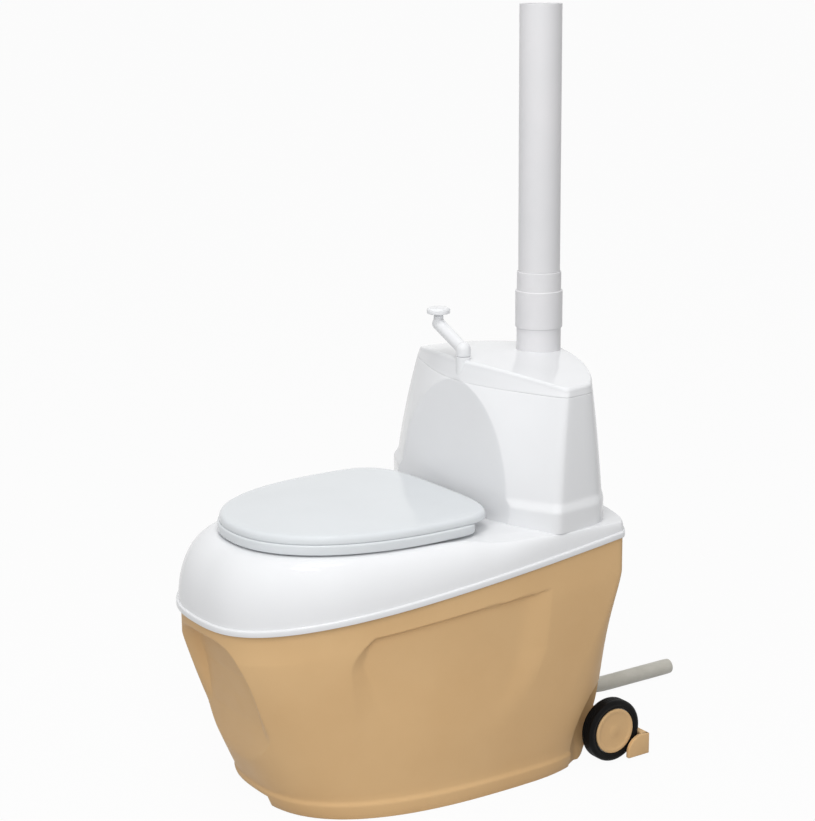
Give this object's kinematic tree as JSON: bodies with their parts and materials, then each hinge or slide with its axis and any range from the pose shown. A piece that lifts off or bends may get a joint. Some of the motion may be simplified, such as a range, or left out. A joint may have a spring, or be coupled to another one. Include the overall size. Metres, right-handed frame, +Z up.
{
  "type": "composting toilet",
  "caption": "Free-standing dry toilet with a tapered tank, lift-off seat deck, cover-material tower with crank, vent pipe, tilt wheels and drain hose.",
  "frame": {"origin": "floor level, centre of the body's plan box without the drain hose", "axes": "+Z up, -Y towards the front of the seat, +X to the toilet's right as seen from the front, with the crank parked towards -X"},
  "size_m": [0.526, 1.082, 1.335],
  "materials": {
    "tank_plastic": "matte moulded tan plastic",
    "white_plastic": "glossy moulded white plastic",
    "pipe_plastic": "smooth extruded white plastic",
    "inner_plastic": "plain grey plastic",
    "tyre_rubber": "matte black rubber",
    "seal_rubber": "matte black rubber",
    "hose_plastic": "warm grey flexible plastic",
    "steel": "zinc-plated steel"
  },
  "bodies": {
    "root": {"tank_shell": "tank_plastic", "rear_steps": "tank_plastic", "step_screws": "steel", "drain_grate": "inner_plastic", "drain_spigot": "inner_plastic", "drain_nut": "inner_plastic", "drain_washer": "seal_rubber", "hose_clamp": "steel", "drain_hose": "hose_plastic", "stub_axles": "steel", "axle_clips": "steel"},
    "wheel_right": {"tyre_right": "tyre_rubber", "wheel_hub_right": "inner_plastic", "hub_cap_right": "tank_plastic"},
    "wheel_left": {"tyre_left": "tyre_rubber", "wheel_hub_left": "inner_plastic", "hub_cap_left": "tank_plastic"},
    "upper_housing": {"seat_deck": "white_plastic", "rim_gasket": "seal_rubber", "splash_collar": "inner_plastic", "tower_shell": "white_plastic", "hopper_bin": "inner_plastic", "vent_duct": "inner_plastic", "hinge_posts": "white_plastic", "hinge_nuts": "inner_plastic", "shaft_bush": "seal_rubber"},
    "seat": {"seat_ring": "white_plastic", "seat_buffers": "seal_rubber", "hinge_pins": "steel"},
    "lid": {"seat_lid": "white_plastic", "lid_knuckles": "white_plastic", "lid_buffers": "seal_rubber"},
    "cap": {"tower_cap": "white_plastic", "vent_sleeve": "pipe_plastic", "vent_coupler": "pipe_plastic", "vent_seal": "seal_rubber", "pipe_socket": "pipe_plastic"},
    "vent": {"vent_pipe": "pipe_plastic"},
    "crank": {"crank_arm": "white_plastic", "drive_pin": "steel", "crank_stem": "steel"},
    "knob": {"crank_knob": "white_plastic"},
    "spreader": {"crank_shaft": "steel", "peat_spreader": "inner_plastic"}
  },
  "joints": [
    {"name": "housing_lift", "type": "slide", "parent": "root", "child": "upper_housing", "axis": [0, 0, 1], "range_m": [0, 0.25]},
    {"name": "seat_hinge", "type": "hinge", "parent": "upper_housing", "child": "seat", "pos_m": [0, 0.098, 0.4755], "axis": [1, 0, 0], "range_deg": [-92, 0]},
    {"name": "lid_hinge", "type": "hinge", "parent": "seat", "child": "lid", "pos_m": [0, 0.098, 0.4755], "axis": [-1, 0, 0], "range_deg": [0, 92]},
    {"name": "cap_lift", "type": "slide", "parent": "upper_housing", "child": "cap", "axis": [0, 0, 1], "range_m": [0, 0.12]},
    {"name": "vent_pipe_lift", "type": "slide", "parent": "cap", "child": "vent", "axis": [0, 0, 1], "range_m": [0, 0.08]},
    {"name": "crank_swing", "type": "hinge", "parent": "cap", "child": "crank", "pos_m": [0, 0.159, 0.739], "axis": [0, 0, -1], "range_deg": [0, 150]},
    {"name": "knob_spin", "type": "hinge", "parent": "crank", "child": "knob", "pos_m": [-0.09705, 0.17264, 0.79], "axis": [0, 0, 1], "continuous": true},
    {"name": "spreader_turn", "type": "hinge", "parent": "upper_housing", "child": "spreader", "pos_m": [0, 0.159, 0.44], "axis": [0, 0, -1], "range_deg": [0, 150]},
    {"name": "wheel_right_spin", "type": "hinge", "parent": "root", "child": "wheel_right", "pos_m": [0.231, 0.317, 0.0635], "axis": [1, 0, 0], "continuous": true},
    {"name": "wheel_left_spin", "type": "hinge", "parent": "root", "child": "wheel_left", "pos_m": [-0.231, 0.317, 0.0635], "axis": [1, 0, 0], "continuous": true}
  ],
  "couplings": [
    {"joint": "spreader_turn", "follows": "crank_swing", "ratio": 1}
  ]
}
